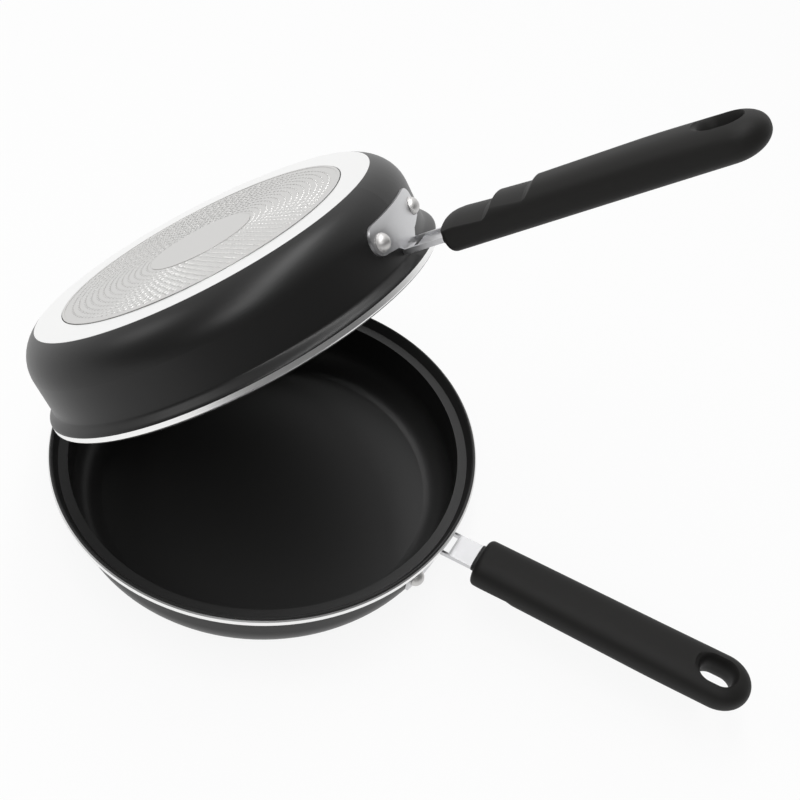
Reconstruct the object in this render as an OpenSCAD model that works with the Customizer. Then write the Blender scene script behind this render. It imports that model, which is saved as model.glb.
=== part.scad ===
// Double sided flip pan: two pressed frying pans whose rims nest.
// The lower pan stands on its base. The upper pan is turned over on it, and is
// drawn tipped open about a line behind the far rim, as it is held in use.
// Each pan is built in its own frame: base plate face at z = 0, handle along +X.

/* [Lower pan] */
// Diameter over the bare rim band of the lower pan
lower_rim_d = 260; // [240:1:290]
// Height of the lower pan from its base plate to its rim
lower_h = 48.5; // [44:0.5:60]
// Width of the ledge inside the lower rim that the upper rim sits on
ledge_w = 5.7; // [4:0.1:7]
// Depth of that ledge below the lower rim
ledge_depth = 6; // [5:0.1:7]

/* [Upper pan] */
// Height of the upper pan from its base plate to its rim
upper_h = 53.2; // [46:0.1:60]
// How far the upper rim band stands out from its wall
upper_flare = 4.6; // [4:0.1:6]
// Thickness of the upper rim at its bare band
upper_rim_t = 3.5; // [3:0.1:4]
// Play between the upper rim band and the lower lip round it
nest_play = 0.6; // [0.4:0.1:1.2]
// Gap left between the closed upper rim and the ledge
seat_gap = 0.3; // [0.2:0.1:0.6]

/* [Pressed sheet] */
// Thickness of the wall sheet
sheet_t = 2.5; // [2:0.1:3]
// Thickness of the floor over the base plate recess
floor_t = 3.2; // [2.8:0.1:4.5]
// Outside radius of the corner between wall and base
corner_r = 22.9; // [20:0.1:26]
// How far the base edge lies inside the wall
corner_inset = 14.2; // [12:0.1:16]
// Inside radius of the corner between wall and floor
inner_corner_r = 17; // [16:0.5:20]

/* [Rim] */
// Depth from the rim to the foot of the flared lip
lip_h = 10.2; // [9.5:0.1:12]
// Lean of the inside of the lower lip, from the ledge to the mouth
lip_lean = 3; // [2:0.1:3.5]
// Height of the bare turned band round the rim
band_h = 4.5; // [3.5:0.1:5]
// Height and width of the turned chamfer on that band
band_chamfer = 1.6; // [1:0.1:1.9]
// Size of the eased inner edge at the lower mouth
mouth_ease = 0.8; // [0.4:0.1:1]

/* [Base plate] */
// Diameter of the patterned plate in the base
plate_d = 175.4; // [150:0.2:184]
// Thickness of that plate
plate_t = 1.2; // [1:0.1:1.6]
// How far the plate stands below the base ring
plate_proud = 0.4; // [0.2:0.1:0.6]
// Gap all round the plate, seen as a fine line
plate_gap = 0.6; // [0.3:0.1:1]
// Diameter of the plain disc at the centre of the plate
plate_hub_d = 62.8; // [50:0.2:72]
// Depth of the turned groove round the plain disc
hub_groove = 0.3; // [0.2:0.05:0.4]

/* [Bracket] */
// Thickness of the stamped steel
steel_t = 1.5; // [1.2:0.1:2]
// Distance from one rivet to the other, measured across the handle
rivet_pitch = 45.8; // [42:0.2:50]
// Depth of the rivets below the rim
rivet_depth = 26.5; // [25:0.1:28]
// Depth of the ear centres below the rim
ear_depth = 27.4; // [26:0.1:29]
// Depth of the bracket's straight base-side edge below the rim
bracket_depth = 37; // [35.6:0.1:38]
// Height of the shoulders between the ears and the channel
shoulder_h = 2; // [1:0.1:3]
// Radius of the two ears
ear_r = 7.8; // [7:0.1:9]
// Width of the channel that runs to the handle
tang_w = 17.2; // [15:0.1:20]
// Depth of the face of the channel below the rim
tang_depth = 11.5; // [10.6:0.1:12.4]
// Height of the channel over its turned edges
tang_h = 3; // [2.5:0.1:3.5]
// Distance from the rim band to the start of the channel's web
web_start = 1.7; // [1:0.1:5]
// Width of the tongue that runs on inside the handle
tongue_w = 11; // [9:0.1:12]
// Length of that tongue
tongue_l = 62; // [40:1:80]

/* [Rivets] */
// Diameter of the rivet shank
rivet_d = 5; // [4:0.1:6]
// Diameter of the domed outer head
rivet_head_d = 10.4; // [9:0.1:12]
// Height of the domed outer head
rivet_head_h = 4.2; // [3:0.1:4.8]
// Diameter of the flat inner head
rivet_foot_d = 11; // [9:0.1:12]
// Thickness of the flat inner head
rivet_foot_h = 1.2; // [0.8:0.1:1.6]

/* [Handle] */
// Distance from the rim band to the front of the handle core
handle_start = 19.6; // [16:0.1:26]
// Overall length of the handle
handle_l = 168; // [150:1:180]
// Width of the grip at its front
grip_w_front = 29; // [26:0.1:31]
// Width of the grip at its round end
grip_w_end = 32.6; // [29:0.1:35]
// Thickness of the grip at its front
grip_t_front = 18.2; // [17:0.1:20]
// Thickness of the grip behind its finger steps
grip_t_end = 22; // [21:0.1:24]
// Depth of the grip's straight face below the rim, at its front
face_depth = 3.7; // [3.5:0.1:4.5]
// Fall of that face towards the round end, in degrees
face_fall = 0.4; // [0:0.1:1]
// Rounding of the grip's front edge
front_r = 3.5; // [2:0.1:5]
// Distance from the grip's front to the first finger step
step_1 = 27; // [22:0.5:32]
// Distance from the grip's front to the second finger step
step_2 = 53; // [45:0.5:60]
// Length over which each finger step rises
step_run = 4.4; // [3:0.1:6]
// Length of the grip's rounded end
round_l = 15; // [12:0.5:18]
// Length of core collar that shows in front of the grip
collar_l = 3; // [2:0.1:5]
// Thickness of the soft grip over the core
soft_t = 3; // [2.5:0.1:3.5]
// Length of the core inside the grip
core_l = 112; // [90:1:118]
// Length of the hang hole
hang_l = 24; // [20:0.5:28]
// Width of the hang hole
hang_w = 11; // [9:0.1:13]
// Distance from the grip's end to the centre of the hang hole
hang_back = 20; // [18:0.5:26]

/* [Opening] */
// Angle that the upper pan is tipped open
open_angle = 38.5; // [0:0.1:60]
// Direction of the tipping line's foot, counted round from the lower handle
hinge_azimuth = 170.6; // [165:0.1:180]
// Distance from the lower rim band out to the tipping line
hinge_out = 0.6; // [0:0.1:4]
// Height of the tipping line below the lower rim
hinge_drop = 4.9; // [3.5:0.1:8]
// Slope of the tipping line, in degrees
hinge_slope = 7.2; // [5:0.1:8]
// Angle between the two handles when the pans are closed
handle_offset = 6.4; // [0:0.1:14]

/* [Hidden] */
$fn = 96;

// Clearance between pieces of one pan that touch
fit_gap = 0.05;
// Overshoot of a cutting tool past the face it cuts
past = 1;

// Rims: everything that nests is worked out from the lower rim band inwards
lower_band_r = lower_rim_d/2;
ledge_r = lower_band_r - sheet_t - lip_lean;
lower_wall_r = ledge_r - ledge_w + sheet_t;
upper_band_r = ledge_r - nest_play;
upper_wall_r = upper_band_r - upper_flare;

// How square the grip's section is: 2 is an ellipse, more is squarer
grip_square = 2.7;
grip_sides = 32;
// Rings of the grip's skin in each stretch of it
front_rings = 3;
straight_rings = 4;
step_rings = 5;
end_rings = 8;
// Least share of the grip's width and thickness left at its very end
end_w_share = 0.18;
end_t_share = 0.55;
// Share of its width and thickness that the core loses towards its inner end
core_taper = 0.25;
core_sides = 20;
core_rings = 12;
arc_steps = 12;

// The line about which the upper pan tips
hinge_point = [(lower_band_r + hinge_out)*cos(hinge_azimuth),
               (lower_band_r + hinge_out)*sin(hinge_azimuth),
               lower_h - hinge_drop];
hinge_dir = [-sin(hinge_azimuth)*cos(hinge_slope),
             cos(hinge_azimuth)*cos(hinge_slope),
             sin(hinge_slope)];
closed_z = lower_h - ledge_depth + seat_gap + upper_h;

// Depth, from the outside of the wall, of the flat seats for the rivets' feet
foot_seat = sheet_t;

COATING = [0.07, 0.07, 0.075];
BARE = [0.80, 0.80, 0.81];
STEEL = [0.70, 0.70, 0.71];
CORE = [0.05, 0.05, 0.05];
GRIP = [0.09, 0.09, 0.09];

// Outside of a pan below its lip, as a half section; t moves it outwards
module body_section(wall_r, h, t = 0) {
    rise = sqrt(pow(corner_r, 2) - pow(corner_r - corner_inset, 2)) + plate_proud;
    r = corner_r + t;
    translate([0, rise]) square([wall_r + t, h - rise]);
    translate([0, plate_proud]) square([wall_r - corner_r, rise - plate_proud + past]);
    intersection() {
        translate([wall_r - corner_r, rise]) circle(r);
        translate([0, plate_proud]) square([wall_r + t, rise - plate_proud + past]);
    }
}

// Inside of a pan, up to its mouth
module hollow_section(wall_r, h) {
    floor_z = plate_proud + floor_t;
    r = wall_r - sheet_t;
    translate([0, floor_z + inner_corner_r]) square([r, h]);
    translate([0, floor_z]) square([r - inner_corner_r, inner_corner_r + past]);
    intersection() {
        translate([r - inner_corner_r, floor_z + inner_corner_r]) circle(inner_corner_r);
        translate([0, floor_z]) square([r, inner_corner_r + past]);
    }
}

// Smooth sweep from 0 to 1, flat at both ends
function ease(s) = (1 - cos(180*s))/2;

// Outside of the lip: an S from the wall out to the band, then the turned chamfer
function lip_outside(wall_r, band_r, h) = concat(
    [for (i = [0 : arc_steps])
        [wall_r + (band_r - wall_r)*ease(i/arc_steps), h - lip_h + (lip_h - band_h)*i/arc_steps]],
    [[band_r, h - band_chamfer], [band_r - band_chamfer, h]]);

module lip_section(wall_r, band_r, h) {
    polygon(concat([[0, h - lip_h]], lip_outside(wall_r, band_r, h), [[0, h]]));
}

// The lower mouth: a ledge for the other rim, with a lip that leans outwards above it
module ledge_mouth(h) {
    mouth_r = lower_band_r - sheet_t;
    polygon([[0, h - ledge_depth], [ledge_r, h - ledge_depth],
             [mouth_r - mouth_ease*lip_lean/ledge_depth, h - mouth_ease],
             [mouth_r + mouth_ease/2, h + fit_gap], [0, h + fit_gap]]);
}

// The upper mouth flares with the outside of its lip, to the thicker rim
module flared_mouth(h) {
    inner_flare = upper_flare + sheet_t - upper_rim_t;
    inside = [for (i = [0 : arc_steps])
        [upper_wall_r - sheet_t + inner_flare*ease(i/arc_steps), h - lip_h + lip_h*i/arc_steps]];
    polygon(concat([[0, h - lip_h]], inside,
                   [[upper_band_r - upper_rim_t, h + fit_gap], [0, h + fit_gap]]));
}

// Places its children on a rivet's axis: +Z runs outwards through the wall
module at_rivet(wall_r, h, side) {
    turn = side*asin(rivet_pitch/2/wall_r);
    rotate([0, 0, turn]) translate([wall_r, 0, h - rivet_depth]) rotate([0, 90, 0]) children();
}

// Holes for the rivet shanks, and flat seats for their feet inside the wall
module rivet_holes(wall_r, h) {
    for (side = [-1, 1]) at_rivet(wall_r, h, side) translate([0, 0, -corner_inset]) {
        cylinder(d = rivet_d + 2*fit_gap, h = 2*corner_inset);
        cylinder(d = rivet_foot_d + 2*fit_gap, h = corner_inset - foot_seat);
    }
}

module pan_shell(wall_r, band_r, h, nested) {
    color(COATING)
    difference() {
        rotate_extrude($fn = 180)
        difference() {
            union() {
                body_section(wall_r, h);
                lip_section(wall_r, band_r, h);
            }
            hollow_section(wall_r, h);
            if (nested) flared_mouth(h);
            else ledge_mouth(h);
            translate([-past, 0]) square([plate_d/2 + plate_gap + past, plate_t + fit_gap]);
        }
        rivet_holes(wall_r, h);
    }
}

module base_plate() {
    color(BARE)
    rotate_extrude($fn = 180)
    difference() {
        square([plate_d/2, plate_t]);
        translate([plate_hub_d/2, -past]) square([plate_gap, past + hub_groove]);
    }
}

// Flat pattern of the wall plate, across the handle and down from the rim:
// two round ears joined by a straight base-side edge, narrowing to the channel
module plate_pattern() {
    ear_y = rivet_pitch/2;
    neck = tang_w/2;
    ear_top = -ear_depth + ear_r;
    corner = -bracket_depth + ear_r;
    half = [[0, -bracket_depth], [ear_y, -bracket_depth], [ear_y, corner], [ear_y + ear_r, corner],
            [ear_y + ear_r, -ear_depth], [ear_y, -ear_depth], [ear_y, ear_top],
            [neck + ear_r/2, ear_top + shoulder_h],
            [neck, -tang_depth - tang_h], [neck, -tang_depth], [0, -tang_depth]];
    for (side = [0, 1]) mirror([side, 0]) {
        translate([ear_y, -ear_depth]) circle(ear_r);
        translate([ear_y, corner]) circle(ear_r);
        polygon(half);
    }
}

module bracket(wall_r, band_r, h) {
    web_x = band_r + web_start;
    end_x = band_r + handle_start - fit_gap;
    color(STEEL)
    difference() {
        union() {
            intersection() {
                rotate_extrude($fn = 180)
                difference() {
                    body_section(wall_r, h, fit_gap + steel_t);
                    body_section(wall_r, h, fit_gap);
                }
                translate([wall_r/2, 0, h]) rotate([90, 0, 90]) linear_extrude(wall_r)
                    plate_pattern();
            }
            for (side = [-1, 1])
                translate([wall_r - corner_inset/2, side*(tang_w - steel_t)/2 - steel_t/2,
                           h - tang_depth - tang_h])
                    cube([end_x - wall_r + corner_inset/2, steel_t, tang_h]);
            translate([web_x, -tang_w/2, h - tang_depth - steel_t])
                cube([end_x - web_x, tang_w, steel_t]);
            translate([end_x - steel_t, -tongue_w/2, h - tang_depth - steel_t])
                cube([tongue_l + steel_t, tongue_w, steel_t]);
        }
        rotate_extrude($fn = 180) {
            body_section(wall_r, h, fit_gap);
            lip_clearance(wall_r, band_r, h);
        }
        rivet_holes(wall_r, h);
    }
}

// Room for the lip beside the channel's edges
module lip_clearance(wall_r, band_r, h) {
    translate([0, -fit_gap]) lip_section(wall_r + fit_gap, band_r + fit_gap, h);
}

// Domed head outside, flat head inside, in one turned piece
module rivet(wall_r, h, side) {
    seat = steel_t + 2*fit_gap;
    head_r = rivet_head_d/2;
    dome_r = (pow(head_r, 2) + pow(rivet_head_h, 2))/(2*rivet_head_h);
    color(BARE)
    at_rivet(wall_r, h, side) {
        rotate_extrude()
        intersection() {
            translate([0, seat + rivet_head_h - dome_r]) circle(dome_r);
            translate([0, seat]) square([head_r, rivet_head_h]);
        }
        translate([0, 0, -foot_seat - fit_gap - rivet_foot_h]) {
            cylinder(d = rivet_d, h = foot_seat + rivet_foot_h + seat + rivet_head_h/2);
            cylinder(d = rivet_foot_d, h = rivet_foot_h);
        }
    }
}

// The grip along its length x: two finger steps on the base side, a rounded
// front edge and a round end. The rim-side face is straight.
grip_l = handle_l - collar_l;
round_x = grip_l - round_l;
function clamp(v) = min(1, max(0, v));
function grip_steps(x) = (ease(clamp((x - step_1)/step_run)) + ease(clamp((x - step_2)/step_run)))/2;
function round_end(x) = sqrt(1 - pow(clamp((x - round_x)/round_l), 2));
function front_inset(x) = front_r - sqrt(pow(front_r, 2) - pow(front_r - min(x, front_r), 2));
function grip_t(x) = (grip_t_front + (grip_t_end - grip_t_front)*grip_steps(x))
    *(end_t_share + (1 - end_t_share)*round_end(x)) - 2*front_inset(x);
function grip_w(x) = (grip_w_front + (grip_w_end - grip_w_front)*x/grip_l)
    *max(end_w_share, round_end(x)) - 2*front_inset(x);
function grip_mid(x) = -x*tan(face_fall) - front_inset(x) - grip_t(x)/2;

// n stations from a up to b, without b itself
function span(a, b, n) = [for (i = [0 : n - 1]) a + (b - a)*i/n];
grip_stations = concat(
    [for (i = [0 : front_rings - 1]) front_r*(1 - cos(90*i/front_rings))],
    span(front_r, step_1, straight_rings), span(step_1, step_1 + step_run, step_rings),
    span(step_1 + step_run, step_2, straight_rings), span(step_2, step_2 + step_run, step_rings),
    span(step_2 + step_run, round_x, 2*straight_rings),
    [for (i = [0 : end_rings]) round_x + round_l*sin(90*i/end_rings)]);

// One ring of a rounded square, n points, at distance x along the handle
function ring(x, mid_z, w, t, n) = [for (i = [0 : n - 1])
    let (a = 360*i/n, c = cos(a), q = sin(a))
    [x, sign(c)*pow(abs(c), 2/grip_square)*w/2, mid_z + sign(q)*pow(abs(q), 2/grip_square)*t/2]];

// A closed skin over rings of n points each
module skin(rings, n) {
    last = len(rings) - 1;
    points = [for (r = rings) each r];
    sides = [for (k = [0 : last - 1], i = [0 : n - 1])
        let (j = (i + 1)%n) each [[k*n + i, (k + 1)*n + j, k*n + j], [k*n + i, (k + 1)*n + i, (k + 1)*n + j]]];
    front = [[for (i = [0 : n - 1]) i]];
    back = [[for (i = [n - 1 : -1 : 0]) last*n + i]];
    polyhedron(points, concat(sides, front, back));
}

module grip_solid() {
    skin([for (x = grip_stations)
          ring(collar_l + x, grip_mid(x), grip_w(x), grip_t(x), grip_sides)], grip_sides);
}

// The core follows the grip at the soft layer's thickness; extra makes its socket
module core_solid(extra = 0) {
    skin([for (k = [0 : core_rings])
          let (s = k/core_rings, taper = 1 - core_taper*s, t = (grip_t_front - 2*soft_t)*taper)
          ring(s*core_l, -soft_t - t/2 - s*core_l*tan(face_fall),
               (grip_w_front - 2*soft_t)*taper + 2*extra, t + 2*extra, core_sides)], core_sides);
}

module at_handle(band_r, h) {
    translate([band_r + handle_start, 0, h - face_depth]) children();
}

module handle_core(band_r, h) {
    color(CORE)
    difference() {
        at_handle(band_r, h) core_solid();
        translate([band_r + handle_start - past, -tongue_w/2 - fit_gap,
                   h - tang_depth - steel_t - fit_gap])
            cube([tongue_l + past + fit_gap, tongue_w + 2*fit_gap, steel_t + 2*fit_gap]);
    }
}

module handle_grip(band_r, h) {
    color(GRIP)
    difference() {
        at_handle(band_r, h)
        difference() {
            grip_solid();
            core_solid(fit_gap);
        }
        at_handle(band_r, h)
            translate([handle_l - hang_back, 0, -2*grip_t_end])
                linear_extrude(3*grip_t_end) hang_slot();
    }
}

module hang_slot() {
    half = (hang_l - hang_w)/2;
    for (side = [-1, 1]) translate([side*half, 0]) circle(d = hang_w);
    square([2*half, hang_w], center = true);
}

// Turns a pan over on the lower one, then tips it open
module opened() {
    translate(hinge_point)
    rotate(a = open_angle, v = hinge_dir)
    translate(-hinge_point)
    rotate([0, 0, handle_offset])
    translate([0, 0, closed_z])
    rotate([180, 0, 0])
    children();
}

module lower_pan_shell() { pan_shell(lower_wall_r, lower_band_r, lower_h, false); }
module lower_base_plate() { base_plate(); }
module lower_bracket() { bracket(lower_wall_r, lower_band_r, lower_h); }
module lower_rivet_left() { rivet(lower_wall_r, lower_h, 1); }
module lower_rivet_right() { rivet(lower_wall_r, lower_h, -1); }
module lower_handle_core() { handle_core(lower_band_r, lower_h); }
module lower_handle_grip() { handle_grip(lower_band_r, lower_h); }
module upper_pan_shell() { opened() pan_shell(upper_wall_r, upper_band_r, upper_h, true); }
module upper_base_plate() { opened() base_plate(); }
module upper_bracket() { opened() bracket(upper_wall_r, upper_band_r, upper_h); }
module upper_rivet_left() { opened() rivet(upper_wall_r, upper_h, 1); }
module upper_rivet_right() { opened() rivet(upper_wall_r, upper_h, -1); }
module upper_handle_core() { opened() handle_core(upper_band_r, upper_h); }
module upper_handle_grip() { opened() handle_grip(upper_band_r, upper_h); }

lower_pan_shell();
lower_base_plate();
lower_bracket();
lower_rivet_left();
lower_rivet_right();
lower_handle_core();
lower_handle_grip();
upper_pan_shell();
upper_base_plate();
upper_bracket();
upper_rivet_left();
upper_rivet_right();
upper_handle_core();
upper_handle_grip();
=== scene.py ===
"""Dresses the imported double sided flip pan: coatings, metals, grips, base pattern, lights and camera.

The product's lengths are in millimetres and turned into metres by MM where Blender takes them.
The studio's lengths, the bump depths and the scales of the noise are in Blender's metres.
Each pan has its own frame: base plate face at z = 0, rim upwards, handle along +X.
"""
import math

import bmesh
import bpy
import numpy as np
from mathutils import Matrix, Vector


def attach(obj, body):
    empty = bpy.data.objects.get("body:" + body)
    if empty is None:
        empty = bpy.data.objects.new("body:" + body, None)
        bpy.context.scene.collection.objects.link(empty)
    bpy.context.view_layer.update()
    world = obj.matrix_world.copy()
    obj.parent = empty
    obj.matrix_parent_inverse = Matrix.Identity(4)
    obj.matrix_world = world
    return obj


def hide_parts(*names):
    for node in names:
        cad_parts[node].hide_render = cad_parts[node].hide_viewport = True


MM = 0.001

# Camera of the photograph, as seen from the pans
CAMERA_PLACE = (259.6, -424.6, 638.5)
CAMERA_FORWARD = (-0.25785, 0.62344, -0.73813)
CAMERA_RIGHT = (0.87384, 0.47642, 0.09714)
FOCAL_LENGTH = 56.34
SENSOR_WIDTH = 36.0

# Bare turned metal: height and depth inwards of the rim band, and height of the ring round the base
BAND_HEIGHT = 4.5
BAND_DEPTH = 0.8
BASE_RING_TOP = 0.7

# Base plates: a flat hub and outer land, and between them a field that is pressed back
FIELD_DEPTH = 0.25
HUB_RADIUS = 31.4
HUB_MIDDLE = 0.5
GROOVE_WIDTH = 0.6
GROOVE_DEPTH = 0.4
LAND_WIDTH = 1.6
PLATE_SIDES = 192
# Rings of raised crescents on the field, the first and last set off by these shares of the pitch
RING_PITCH = 3.9
FIRST_RING = 0.6
LAST_RING = 0.45
CRESCENT_LENGTH = 3.3
CRESCENT_PITCH = 4.5
CRESCENT_WIDTH = 1.5
CRESCENT_STEPS = 5
# Share of the outer arc's crown that the inner arc has, and share of the size left at the face
CRESCENT_HOLLOW = 0.42
CRESCENT_TAPER = 0.82

# Grips: places of the front and the end, outwards from the rim band
GRIP_FRONT = 19.2
GRIP_END = 187.8
# Rim-side face: how far below the rim it starts, and the degrees by which it falls outwards
GRIP_FACE = 3.7
GRIP_FALL = 0.4
# Widths at the front and the end, and thickness of the full form
GRIP_WIDTHS = (30.0, 33.4)
GRIP_THICKNESS = 22.7
# How much thinner the full form gets, and the share of its length where that starts
GRIP_END_THINNING = 1.8
GRIP_THINNING_START = 0.62
# Exponents of the rounded squares of the cross-section and of the end in side view
GRIP_SQUARE = 2.5
GRIP_END_SQUARE = 2.2
# How much further out the upper grip sits than the lower one
GRIP_SHIFT = {"lower": 0.0, "upper": 2.4}
# Rounding of the front, length of the round end, and shares of the size left at its tip
GRIP_FRONT_RADIUS = 3.6
GRIP_ROUND = 18.5
GRIP_TIP_WIDTH = 0.02
GRIP_TIP_THICKNESS = 0.04
# Base side of the grip: distance from its front, then thickness left there
GRIP_TERRACES = ((0.0, 17.2), (1.5, 17.9), (4.0, 18.4), (8.0, 18.6), (24.8, 17.5), (26.8, 18.3),
                 (30.2, 20.9), (48.0, 19.9), (50.0, 20.5), (53.6, 22.8), (54.6, 25.0), (55.6, 32.0))
# How much lower the terraces are at the grip's sides, and how softly their edges run out
GRIP_TERRACE_CROWN = 2.6
GRIP_EDGE = 0.5
# Points in each ring of the skin, and steps in the rounding of the front and of the end
GRIP_SIDES = 144
GRIP_FRONT_STEPS = 9
GRIP_END_STEPS = 26
# Spacing of the rings from each place outwards, close at the terraces' steep walls
GRIP_SPACING = ((GRIP_FRONT_RADIUS, 1.0), (23.0, 0.25), (32.0, 1.0), (47.0, 0.25), (56.0, 2.0))
# Hang hole: its middle from the grip's end, its length, width and softened rim
HOLE_BACK = 20.8
HOLE_LENGTH = 19.0
HOLE_WIDTH = 14.0
HOLE_FLARE = 4.2
HOLE_FLARE_DEPTH = 9.5
HOLE_SIDES = 64
HOLE_STEPS = 14
# How far the hole's cutter stands out of the grip, and how much wider than the flare it is there
HOLE_CUTTER_ENDS = ((20.0, 4.0), (2.0, 1.0))
# Plastic collar that the steel channel runs into
COLLAR_FRONT = 17.0
COLLAR_DEPTH = 12.8
COLLAR_SIZE = (18.8, 7.6)
COLLAR_LENGTH = 110.0
COLLAR_SIDES = 48
# Rounding of the collar's front: distance from it, then how far the sides are set in
COLLAR_EDGE = ((0.0, 0.6), (0.2, 0.2), (0.6, 0.0))
# Edges that turn by more degrees than this are shaded sharp
SHARP_ANGLE = 50.0


# ---------------------------------------------------------------- frames

def vertices(name):
    """The vertices of a CAD node in the row frame, in metres."""
    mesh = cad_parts[name].data
    points = np.empty(len(mesh.vertices) * 3, np.float32)
    mesh.vertices.foreach_get("co", points)
    return points.reshape(-1, 3).astype(float)


def pan_frame(pan):
    """The matrix from a pan's own frame to the row frame, from its base plate and rivets."""
    plate = vertices(pan + "_base_plate")
    centre = (plate.min(0) + plate.max(0)) / 2
    normal = np.linalg.svd(plate - plate.mean(0), full_matrices=False)[2][2]
    left = vertices(pan + "_rivet_left").mean(0)
    right = vertices(pan + "_rivet_right").mean(0)
    towards_rim = (left + right) / 2 - centre
    normal *= math.copysign(1, towards_rim @ normal)
    along = towards_rim - normal * (towards_rim @ normal)
    along /= np.linalg.norm(along)
    face = ((plate - centre) @ normal).min()
    matrix = Matrix.Identity(4)
    for row in range(3):
        matrix[row][0] = along[row]
        matrix[row][1] = np.cross(normal, along)[row]
        matrix[row][2] = normal[row]
        matrix[row][3] = (centre + normal * face)[row]
    return matrix


def pan_sizes(pan, matrix):
    """Rim height, rim band radius, and base plate radius and thickness of a pan, in metres."""
    back = np.array(matrix.inverted())
    shell = vertices(pan + "_pan_shell") @ back[:3, :3].T + back[:3, 3]
    plate = vertices(pan + "_base_plate") @ back[:3, :3].T + back[:3, 3]
    return {
        "height": shell[:, 2].max(),
        "band": np.hypot(shell[:, 0], shell[:, 1]).max(),
        "plate": np.hypot(plate[:, 0], plate[:, 1]).max(),
        "plate_top": plate[:, 2].max(),
    }


# ---------------------------------------------------------------- node helpers

class Shader:
    """A material's node tree, with short calls for the nodes that are used often."""

    def __init__(self, name):
        self.material = bpy.data.materials.new(name)
        self.material.use_nodes = True
        self.tree = self.material.node_tree
        self.surface = self.tree.nodes["Principled BSDF"]

    def node(self, kind, **settings):
        node = self.tree.nodes.new("ShaderNode" + kind)
        for key, value in settings.items():
            setattr(node, key, value)
        return node

    def link(self, value, socket):
        if isinstance(value, bpy.types.NodeSocket):
            self.tree.links.new(value, socket)
        else:
            socket.default_value = value

    def math(self, operation, first, second=0.0):
        node = self.node("Math", operation=operation)
        self.link(first, node.inputs[0])
        self.link(second, node.inputs[1])
        return node.outputs[0]

    def mix(self, factor, first, second):
        node = self.node("Mix", data_type="RGBA")
        self.link(factor, node.inputs["Factor"])
        self.link(first, node.inputs[6])
        self.link(second, node.inputs[7])
        return node.outputs[2]

    def ramp(self, value, low, high, start, end):
        """Maps value from low..high to start..end, held at both ends."""
        node = self.node("MapRange")
        for socket, number in zip(node.inputs, (value, low, high, start, end)):
            self.link(number, socket)
        return node.outputs[0]

    def place(self, matrix=None):
        """Object coordinates, in a pan's own frame when its matrix is given."""
        coordinates = self.node("TexCoord").outputs["Object"]
        if matrix is None:
            return coordinates
        back = matrix.inverted()
        mapping = self.node("Mapping")
        self.link(coordinates, mapping.inputs["Vector"])
        mapping.inputs["Location"].default_value = back.to_translation()
        mapping.inputs["Rotation"].default_value = back.to_euler()
        return mapping.outputs[0]

    def split(self, vector):
        node = self.node("SeparateXYZ")
        self.link(vector, node.inputs[0])
        return node.outputs

    def radius(self, parts):
        """Distance from a pan's axis."""
        squares = [self.math("MULTIPLY", part, part) for part in parts[:2]]
        return self.math("SQRT", self.math("ADD", *squares))

    def noise(self, vector, scale, detail=2.0, roughness=0.5):
        node = self.node("TexNoise")
        self.link(vector, node.inputs["Vector"])
        node.inputs["Scale"].default_value = scale
        node.inputs["Detail"].default_value = detail
        node.inputs["Roughness"].default_value = roughness
        return node.outputs[0]

    def rings(self, radius, scale):
        """Fine noise that changes with the radius alone, as turning leaves it."""
        node = self.node("TexNoise", noise_dimensions="1D")
        self.link(radius, node.inputs["W"])
        node.inputs["Scale"].default_value = scale
        node.inputs["Detail"].default_value = 3.0
        return node.outputs[0]

    def bump(self, height, distance, strength=1.0):
        node = self.node("Bump")
        self.link(height, node.inputs["Height"])
        node.inputs["Distance"].default_value = distance
        node.inputs["Strength"].default_value = strength
        self.link(node.outputs[0], self.surface.inputs["Normal"])

    def set(self, **values):
        names = {"color": "Base Color", "specular": "Specular IOR Level"}
        for key, value in values.items():
            socket = self.surface.inputs[names.get(key, key.capitalize())]
            if key == "color" and isinstance(value, (tuple, list)):
                value = (*value, 1.0)[:4]
            self.link(value, socket)


def dress(node, material):
    """Gives every material slot of a CAD node or a new piece this material."""
    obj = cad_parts.get(node) if isinstance(node, str) else node
    if not obj.material_slots:
        obj.data.materials.append(material)
    for slot in obj.material_slots:
        slot.material = material


# ---------------------------------------------------------------- materials

# Coating colour of each pan; the lower pan's is painted lighter than the upper's, as painted light that
# makes up for the shade the upper pan casts into it
COATING_COLOR_AND_PAINTED_LIGHT = {"lower": (0.0185, 0.0183, 0.0182), "upper": (0.0085, 0.0083, 0.0082)}
COATING_ROUGHNESS = 0.37
COATING_SPECULAR = 0.34
BARE_COLOR = (0.92, 0.92, 0.915)
BARE_ROUGHNESS = 0.28
# Base plate colours: the raised hub, land and crescent tops are painted lighter as painted highlight, and
# the pressed field between them darker as painted shade
PLATE_COLOR = (0.84, 0.84, 0.83)
PLATE_ROUGHNESS = 0.34
PLATE_FIELD_PAINTED_SHADE_COLOR = (0.66, 0.655, 0.645)
PLATE_FIELD_ROUGHNESS = 0.5
STEEL_COLOR = (0.62, 0.62, 0.63)
STEEL_ROUGHNESS = (0.28, 0.42)
RIVET_COLOR = (0.66, 0.65, 0.64)
RIVET_ROUGHNESS = (0.46, 0.54)
CORE_COLOR = (0.012, 0.012, 0.012)
CORE_ROUGHNESS = 0.5
CORE_SPECULAR = 0.4
GRIP_COLOR = (0.0118, 0.0114, 0.0108)
GRIP_ROUGHNESS = 0.56
GRIP_SPECULAR = 0.2
# Scales of the noise
COATING_GRAIN = 1500.0
BAND_TURNING = 2600.0
PLATE_TURNING = 2200.0
STEEL_BRUSHING = (60.0, 1500.0, 1500.0)
RIVET_MOTTLE = 900.0
MOULDED_GRAIN = 2600.0
# Stretch of a noise's values that a roughness follows
NOISE_SPAN = (0.3, 0.7)
# Depths of the bumps
TURNING_DEPTH = 0.00003
BRUSHING_DEPTH = 0.00002
MOULDED_DEPTH = 0.00008


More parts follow.
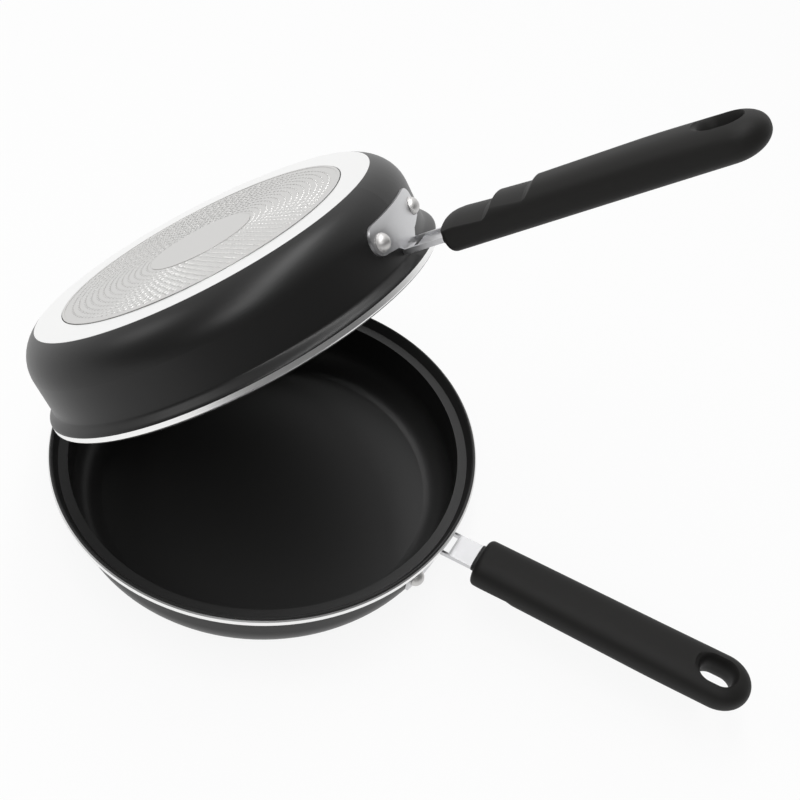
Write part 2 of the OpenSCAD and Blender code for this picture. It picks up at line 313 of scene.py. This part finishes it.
def shell_material(pan):
    """Nonstick coating all over, but bare turned metal on the rim band and the base ring."""
    matrix, sizes = pans[pan]
    shader = Shader(pan + "_shell")
    place = shader.place(matrix)
    parts = shader.split(place)
    radius = shader.radius(parts)
    outer = shader.math("GREATER_THAN", radius, sizes["band"] - BAND_DEPTH * MM)
    upper = shader.math("GREATER_THAN", parts[2], sizes["height"] - BAND_HEIGHT * MM)
    base_ring = shader.math("LESS_THAN", parts[2], BASE_RING_TOP * MM)
    bare = shader.math("MAXIMUM", shader.math("MULTIPLY", outer, upper), base_ring)
    turned = shader.rings(shader.math("ADD", radius, parts[2]), BAND_TURNING)
    grain = shader.noise(place, COATING_GRAIN)
    # The lower pan's coating colour carries painted light: it is lighter to make up for the shade it sits
    # in
    color = shader.mix(bare, (*COATING_COLOR_AND_PAINTED_LIGHT[pan], 1.0), (*BARE_COLOR, 1.0))
    shader.set(color=color, metallic=bare, specular=COATING_SPECULAR,
               roughness=shader.ramp(bare, 0.0, 1.0, COATING_ROUGHNESS, BARE_ROUGHNESS))
    relief = shader.node("Mix", data_type="FLOAT")
    for value, socket in zip((bare, grain, turned), relief.inputs[:1] + relief.inputs[2:4]):
        shader.link(value, socket)
    shader.bump(relief.outputs[0], TURNING_DEPTH, strength=0.35)
    return shader.material


def plate_material(pan):
    """Bare pressed aluminium with the fine rings that facing leaves, rougher and painted darker (painted
    shade) in the pressed field.
    """
    shader = Shader(pan + "_plate")
    parts = shader.split(shader.place(pans[pan][0]))
    turned = shader.rings(shader.radius(parts), PLATE_TURNING)
    raised = shader.math("LESS_THAN", parts[2], FIELD_DEPTH * MM / 2)
    # Raised faces take the lighter colour as painted highlight, the pressed field the darker one as
    # painted shade
    shader.set(color=shader.mix(raised, (*PLATE_FIELD_PAINTED_SHADE_COLOR, 1.0), (*PLATE_COLOR, 1.0)), metallic=1.0,
               roughness=shader.ramp(raised, 0.0, 1.0, PLATE_FIELD_ROUGHNESS, PLATE_ROUGHNESS))
    shader.bump(turned, TURNING_DEPTH, strength=0.3)
    return shader.material


def steel_material():
    """Stamped and lightly brushed steel."""
    shader = Shader("stamped_steel")
    place = shader.place()
    stretch = shader.node("Mapping")
    shader.link(place, stretch.inputs["Vector"])
    stretch.inputs["Scale"].default_value = STEEL_BRUSHING
    brushed = shader.noise(stretch.outputs[0], 1.0)
    shader.set(color=STEEL_COLOR, metallic=1.0,
               roughness=shader.ramp(brushed, *NOISE_SPAN, *STEEL_ROUGHNESS))
    shader.bump(brushed, BRUSHING_DEPTH, strength=0.25)
    return shader.material


def rivet_material():
    """Bare aluminium, slightly mottled."""
    shader = Shader("rivet_aluminium")
    mottle = shader.noise(shader.place(), RIVET_MOTTLE)
    shader.set(color=RIVET_COLOR, metallic=1.0,
               roughness=shader.ramp(mottle, *NOISE_SPAN, *RIVET_ROUGHNESS))
    return shader.material


def soft_material(name, color, roughness, specular):
    """Matte plastic or soft rubber with a very fine moulded texture."""
    shader = Shader(name)
    grain = shader.noise(shader.place(), MOULDED_GRAIN, detail=3.0, roughness=0.6)
    shader.set(color=color, roughness=roughness, specular=specular)
    shader.bump(grain, MOULDED_DEPTH, strength=0.25)
    return shader.material


# ---------------------------------------------------------------- base plates

def new_piece(name, points, faces, pan, smooth=False):
    """A new object made in a pan's own frame, which moves with that pan."""
    mesh = bpy.data.meshes.new(name)
    mesh.from_pydata([tuple(point) for point in points], [], faces)
    mesh.validate()
    mesh.update()
    for polygon in mesh.polygons:
        polygon.use_smooth = smooth
    obj = bpy.data.objects.new(name, mesh)
    bpy.context.scene.collection.objects.link(obj)
    obj.matrix_world = pans[pan][0]
    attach(obj, pan + "_pan")
    return obj


def turned_disc(profile):
    """Points and faces of a profile (radius, height) turned round, closed at the axis."""
    sides = PLATE_SIDES
    angles = [2 * math.pi * i / sides for i in range(sides)]
    points = [(r * math.cos(a), r * math.sin(a), z) for r, z in profile for a in angles]
    faces = []
    for level in range(len(profile) - 1):
        low, high = level * sides, (level + 1) * sides
        for i in range(sides):
            j = (i + 1) % sides
            faces.append((low + i, high + i, high + j, low + j))
    faces.append(list(range(sides)))
    faces.append([(len(profile) - 1) * sides + i for i in reversed(range(sides))])
    return points, faces


def crescent(radius, turn):
    """Points of one raised crescent's outline, first on the field and then at the plate's face."""
    half = CRESCENT_LENGTH / 2
    outer, inner = [], []
    for step in range(CRESCENT_STEPS + 1):
        u = -1 + 2 * step / CRESCENT_STEPS
        crown = (1 - u * u) * CRESCENT_WIDTH
        outer.append((u * half, crown - CRESCENT_WIDTH / 2))
        inner.append((u * half, crown * CRESCENT_HOLLOW - CRESCENT_WIDTH / 2))
    outline = outer + inner[-2:0:-1]
    points = []
    for height, share in ((FIELD_DEPTH, 1.0), (0.0, CRESCENT_TAPER)):
        for along, across in outline:
            r = (radius + across * share) * MM
            a = turn + along * share / radius
            points.append((r * math.cos(a), r * math.sin(a), height * MM))
    return points


def base_plate(pan):
    """A base plate whose field is pressed back, leaving rings of small raised crescents."""
    sizes = pans[pan][1]
    plate = sizes["plate"]
    field = FIELD_DEPTH * MM
    groove = GROOVE_DEPTH * MM
    middle = HUB_MIDDLE * MM
    hub = HUB_RADIUS * MM
    hub_out = hub + GROOVE_WIDTH * MM
    land = plate - LAND_WIDTH * MM
    profile = [(middle, 0), (hub, 0), (hub, groove), (hub_out, groove), (hub_out, field),
               (land, field), (land, 0), (plate, 0), (plate, sizes["plate_top"]),
               (middle, sizes["plate_top"])]
    points, faces = turned_disc(profile)
    row = 0
    radius = HUB_RADIUS + GROOVE_WIDTH + RING_PITCH * FIRST_RING
    while radius < land / MM - RING_PITCH * LAST_RING:
        count = round(2 * math.pi * radius / CRESCENT_PITCH)
        for i in range(count):
            turn = 2 * math.pi * (i + 0.5 * (row % 2)) / count
            start = len(points)
            piece = crescent(radius, turn)
            points += piece
            n = len(piece) // 2
            faces.append([start + n + k for k in range(n)][::-1])
            for k in range(n):
                m = (k + 1) % n
                faces.append((start + k, start + m, start + n + m, start + n + k))
        radius += RING_PITCH
        row += 1
    obj = new_piece(pan + "_plate_pattern", points, faces, pan)
    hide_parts(pan + "_base_plate")
    dress(obj, plate_material(pan))


# ---------------------------------------------------------------- grips

def ring(x, middle, width, thickness, sides=GRIP_SIDES):
    """One ring of a rounded square at distance x, as rows of x, y, z."""
    angles = np.arange(sides) * 2 * math.pi / sides
    c, q = np.cos(angles), np.sin(angles)
    across = np.sign(c) * np.abs(c) ** (2 / GRIP_SQUARE) * width / 2
    down = np.sign(q) * np.abs(q) ** (2 / GRIP_SQUARE) * thickness / 2
    return np.stack([np.full(sides, x), across, middle + down], 1)


def skin(rings):
    """Points and faces of a closed skin over rings that all have as many points."""
    count = len(rings[0])
    faces = []
    for k in range(len(rings) - 1):
        for i in range(count):
            j = (i + 1) % count
            faces.append((k * count + i, k * count + j, (k + 1) * count + j, (k + 1) * count + i))
    faces.append(list(reversed(range(count))))
    faces.append([(len(rings) - 1) * count + i for i in range(count)])
    return np.concatenate(rings), faces


def spaced(start, end, step):
    """Places from start on, about a step apart, with the end itself left out."""
    return list(np.linspace(start, end, max(2, round((end - start) / step)) + 1)[:-1])


def grip_thickness(x, length):
    """Thickness of the full form, which thins a little towards the round end."""
    start = GRIP_THINNING_START * length
    along = min(1.0, max(0.0, (x - start) / (length - start)))
    return GRIP_THICKNESS - GRIP_END_THINNING * along * along * (3 - 2 * along)


def grip_rings(origin, rim):
    """The grip as rings: a full rounded form, cut flat in two terraces on the base side."""
    length = GRIP_END - GRIP_FRONT
    fall = math.tan(math.radians(GRIP_FALL))
    round_start = length - GRIP_ROUND
    stations = [GRIP_FRONT_RADIUS * (1 - math.cos(math.pi / 2 * i / GRIP_FRONT_STEPS))
                for i in range(GRIP_FRONT_STEPS)]
    ends = [start for start, step in GRIP_SPACING[1:]] + [round_start]
    for (start, step), end in zip(GRIP_SPACING, ends):
        stations += spaced(start, end, step)
    stations += [round_start + GRIP_ROUND * math.sin(math.pi / 2 * i / GRIP_END_STEPS)
                 for i in range(GRIP_END_STEPS + 1)]
    rings = []
    for x in stations:
        inside = GRIP_FRONT_RADIUS - min(x, GRIP_FRONT_RADIUS)
        inset = GRIP_FRONT_RADIUS - math.sqrt(GRIP_FRONT_RADIUS ** 2 - inside ** 2)
        along = min(1.0, max(0.0, (x - round_start) / GRIP_ROUND))
        width = GRIP_WIDTHS[0] + (GRIP_WIDTHS[1] - GRIP_WIDTHS[0]) * x / length
        width *= max(GRIP_TIP_WIDTH, math.sqrt(1 - along ** 2))
        full = grip_thickness(x, length)
        thickness = full * max(GRIP_TIP_THICKNESS, (1 - along ** GRIP_END_SQUARE) ** (1 / GRIP_END_SQUARE))
        row = ring(x, full / 2, width - 2 * inset, thickness - 2 * inset)
        limit = np.interp(x, *zip(*GRIP_TERRACES))
        limit = limit - GRIP_TERRACE_CROWN * (2 * row[:, 1] / GRIP_WIDTHS[0]) ** 2
        blend = np.clip(0.5 + (limit - row[:, 2]) / (2 * GRIP_EDGE), 0, 1)
        row[:, 2] = row[:, 2] * blend + limit * (1 - blend) - GRIP_EDGE * blend * (1 - blend)
        row[:, 2] = rim - GRIP_FACE - x * fall - row[:, 2]
        row[:, 0] += origin + GRIP_FRONT
        rings.append(row * MM)
    return rings


def hole_cutter(pan, centre, top, thickness):
    """A slot that widens softly towards both faces of the grip."""
    straight = (HOLE_LENGTH - HOLE_WIDTH) / 2
    angles = np.arange(HOLE_SIDES) * 2 * math.pi / HOLE_SIDES
    side = np.where(np.cos(angles) >= 0, straight, -straight)
    depths = [-reach for reach, wider in HOLE_CUTTER_ENDS]
    grows = [HOLE_FLARE + wider for reach, wider in HOLE_CUTTER_ENDS]
    for i in range(HOLE_STEPS + 1):
        depth = HOLE_FLARE_DEPTH * i / HOLE_STEPS
        depths.append(depth)
        grows.append(HOLE_FLARE * (1 - math.sqrt(1 - (1 - depth / HOLE_FLARE_DEPTH) ** 2)))
    last = [thickness - depth for depth in reversed(depths)]
    rings = []
    for depth, grow in zip(depths + last, grows + grows[::-1]):
        radius = HOLE_WIDTH / 2 + grow
        rings.append(np.stack([centre + side + radius * np.cos(angles), radius * np.sin(angles),
                               np.full(HOLE_SIDES, top - depth)], 1) * MM)
    points, faces = skin(rings)
    mesh = bpy.data.meshes.new("cutter")
    mesh.from_pydata([tuple(point) for point in points], [], faces)
    cutter = bpy.data.objects.new("cutter", mesh)
    bpy.context.scene.collection.objects.link(cutter)
    cutter.matrix_world = pans[pan][0]
    return cutter


def outwards(obj):
    """Turns all of a closed mesh's faces outwards."""
    work = bmesh.new()
    work.from_mesh(obj.data)
    bmesh.ops.recalc_face_normals(work, faces=work.faces)
    work.to_mesh(obj.data)
    work.free()


def cut(obj, cutter):
    """Takes the cutter away from obj, for good."""
    outwards(obj)
    outwards(cutter)
    modifier = obj.modifiers.new("cut", "BOOLEAN")
    modifier.operation = "DIFFERENCE"
    modifier.solver = "EXACT"
    modifier.object = cutter
    bpy.context.view_layer.update()
    result = bpy.data.meshes.new_from_object(obj.evaluated_get(bpy.context.evaluated_depsgraph_get()))
    obj.modifiers.remove(modifier)
    obj.data = result
    bpy.data.objects.remove(cutter)


def handle(pan):
    """The smooth grip with its finger terraces and hang hole, and the core it is moulded over."""
    sizes = pans[pan][1]
    band, rim = sizes["band"] / MM, sizes["height"] / MM
    out = band + GRIP_SHIFT[pan]
    length = GRIP_END - GRIP_FRONT
    points, faces = skin(grip_rings(out, rim))
    grip = new_piece(pan + "_grip_surface", points, faces, pan, smooth=True)
    cut(grip, hole_cutter(pan, out + GRIP_END - HOLE_BACK,
                          rim - GRIP_FACE - length * math.tan(math.radians(GRIP_FALL)),
                          grip_thickness(length - HOLE_BACK, length)))
    for polygon in grip.data.polygons:
        polygon.use_smooth = True
    grip.data.set_sharp_from_angle(angle=math.radians(SHARP_ANGLE))
    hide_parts(pan + "_handle_grip")
    dress(grip, grip_rubber)
    core = [ring(out + COLLAR_FRONT + along, rim - COLLAR_DEPTH, COLLAR_SIZE[0] - 2 * inset,
                 COLLAR_SIZE[1] - 2 * inset, COLLAR_SIDES) * MM
            for along, inset in (*COLLAR_EDGE, (COLLAR_LENGTH, 0.0))]
    points, faces = skin(core)
    piece = new_piece(pan + "_core_surface", points, faces, pan, smooth=True)
    piece.data.set_sharp_from_angle(angle=math.radians(SHARP_ANGLE))
    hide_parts(pan + "_handle_core")
    dress(piece, core_plastic)


# ---------------------------------------------------------------- studio

# The overhead strip draws the long streak on the upper pan and is turned as the streak runs
STRIP_PLACE = (0.0, 0.0, 1.6)
STRIP_SIZE = (0.3, 2.2)
STRIP_POWER = 15.5
STRIP_TURN = 28.0
# Square lamps: place, size and power
LAMPS = {"front": ((0.42, -1.05, 1.4), 0.55, 3.0), "left": ((-1.5, -0.7, 1.2), 0.7, 4.5)}
LAMP_TARGET = (0, 0, 0.1)
# Light from all round: dim and bright side, where the bright side is, and how the one fades into the other
WORLD_DIM = 0.16
WORLD_BRIGHT = 0.95
WORLD_TOWARDS = (-0.6, 0.8, 0.1)
WORLD_FADE = (-0.3, 0.7)
BACKDROP = 1.0
# Floor: its glow stands in for this share of it where the camera or a reflection sees it
FLOOR_SIZE = 30.0
FLOOR_PLACE = (0, 0, -0.0002)
FLOOR_COLOR = (0.8, 0.8, 0.8, 1)
FLOOR_GLOW = 0.9
VIEW_DEPTH = 50.0


def area_light(name, place, size, power):
    data = bpy.data.lights.new(name, "AREA")
    data.energy = power
    data.size = size
    lamp = bpy.data.objects.new(name, data)
    bpy.context.scene.collection.objects.link(lamp)
    lamp.location = place
    return lamp


def lights():
    """A strip overhead that faces straight down, and two lamps that face the pans."""
    strip = area_light("overhead", STRIP_PLACE, STRIP_SIZE[0], STRIP_POWER)
    strip.data.shape = "RECTANGLE"
    strip.data.size_y = STRIP_SIZE[1]
    strip.rotation_euler = (0, 0, math.radians(STRIP_TURN))
    for name, (place, size, power) in LAMPS.items():
        lamp = area_light(name, place, size, power)
        towards = Vector(LAMP_TARGET) - Vector(place)
        lamp.rotation_euler = towards.to_track_quat("-Z", "Y").to_euler()


def world_light():
    """Light from all round, brighter towards one side, with a white backdrop for the camera."""
    world = bpy.data.worlds.new("studio")
    bpy.context.scene.world = world
    world.use_nodes = True
    tree = world.node_tree
    background = tree.nodes["Background"]
    path = tree.nodes.new("ShaderNodeLightPath")
    seen = tree.nodes.new("ShaderNodeMath")
    seen.operation = "MAXIMUM"
    tree.links.new(path.outputs["Is Camera Ray"], seen.inputs[0])
    tree.links.new(path.outputs["Is Transmission Ray"], seen.inputs[1])
    direction = tree.nodes.new("ShaderNodeTexCoord")
    facing = tree.nodes.new("ShaderNodeVectorMath")
    facing.operation = "DOT_PRODUCT"
    tree.links.new(direction.outputs["Generated"], facing.inputs[0])
    facing.inputs[1].default_value = Vector(WORLD_TOWARDS).normalized()
    studio = tree.nodes.new("ShaderNodeMapRange")
    tree.links.new(facing.outputs["Value"], studio.inputs[0])
    for socket, number in zip(studio.inputs[1:5], (*WORLD_FADE, WORLD_DIM, WORLD_BRIGHT)):
        socket.default_value = number
    strength = tree.nodes.new("ShaderNodeMapRange")
    tree.links.new(seen.outputs[0], strength.inputs[0])
    tree.links.new(studio.outputs[0], strength.inputs[3])
    strength.inputs[4].default_value = BACKDROP
    background.inputs["Color"].default_value = (1, 1, 1, 1)
    tree.links.new(strength.outputs[0], background.inputs["Strength"])


def floor():
    """A pale floor that reads as white to the camera and keeps a faint shadow."""
    bpy.ops.mesh.primitive_plane_add(size=FLOOR_SIZE, location=FLOOR_PLACE)
    obj = bpy.context.object
    obj.name = "floor"
    material = bpy.data.materials.new("floor")
    material.use_nodes = True
    tree = material.node_tree
    tree.nodes.clear()
    output = tree.nodes.new("ShaderNodeOutputMaterial")
    path = tree.nodes.new("ShaderNodeLightPath")
    diffuse = tree.nodes.new("ShaderNodeBsdfDiffuse")
    diffuse.inputs["Color"].default_value = FLOOR_COLOR
    glow = tree.nodes.new("ShaderNodeEmission")
    glow.inputs["Strength"].default_value = BACKDROP
    share = tree.nodes.new("ShaderNodeMath")
    share.operation = "MULTIPLY"
    share.inputs[1].default_value = FLOOR_GLOW
    mix = tree.nodes.new("ShaderNodeMixShader")
    seen = tree.nodes.new("ShaderNodeMath")
    seen.operation = "MAXIMUM"
    tree.links.new(path.outputs["Is Camera Ray"], seen.inputs[0])
    tree.links.new(path.outputs["Is Glossy Ray"], seen.inputs[1])
    tree.links.new(seen.outputs[0], share.inputs[0])
    tree.links.new(share.outputs[0], mix.inputs[0])
    tree.links.new(diffuse.outputs[0], mix.inputs[1])
    tree.links.new(glow.outputs[0], mix.inputs[2])
    tree.links.new(mix.outputs[0], output.inputs["Surface"])
    dress(obj, material)


def camera():
    """The photograph's camera, by its place and the directions it looks in."""
    data = bpy.data.cameras.new("camera")
    data.sensor_width = SENSOR_WIDTH
    data.lens = FOCAL_LENGTH
    data.clip_end = VIEW_DEPTH
    obj = bpy.data.objects.new("camera", data)
    bpy.context.scene.collection.objects.link(obj)
    forward = Vector(CAMERA_FORWARD).normalized()
    right = Vector(CAMERA_RIGHT).normalized()
    up = right.cross(forward)
    matrix = Matrix((right, up, -forward)).transposed().to_4x4()
    matrix.translation = Vector(CAMERA_PLACE) * MM
    obj.matrix_world = matrix
    bpy.context.scene.camera = obj


# ---------------------------------------------------------------- build

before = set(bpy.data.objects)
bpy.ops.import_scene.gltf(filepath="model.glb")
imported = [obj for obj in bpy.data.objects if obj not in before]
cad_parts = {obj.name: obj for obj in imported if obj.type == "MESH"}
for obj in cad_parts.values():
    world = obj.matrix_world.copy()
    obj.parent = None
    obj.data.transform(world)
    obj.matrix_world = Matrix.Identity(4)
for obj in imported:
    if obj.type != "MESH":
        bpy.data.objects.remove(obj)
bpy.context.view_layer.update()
pans = {}
for pan in ("lower", "upper"):
    matrix = pan_frame(pan)
    pans[pan] = (matrix, pan_sizes(pan, matrix))

steel = steel_material()
rivet_metal = rivet_material()
core_plastic = soft_material("handle_core", CORE_COLOR, CORE_ROUGHNESS, CORE_SPECULAR)
grip_rubber = soft_material("soft_grip", GRIP_COLOR, GRIP_ROUGHNESS, GRIP_SPECULAR)
for pan in pans:
    dress(pan + "_pan_shell", shell_material(pan))
    dress(pan + "_bracket", steel)
    dress(pan + "_rivet_left", rivet_metal)
    dress(pan + "_rivet_right", rivet_metal)
    handle(pan)
    base_plate(pan)

floor()
world_light()
lights()
camera()

bpy.context.scene.view_settings.view_transform = "Standard"
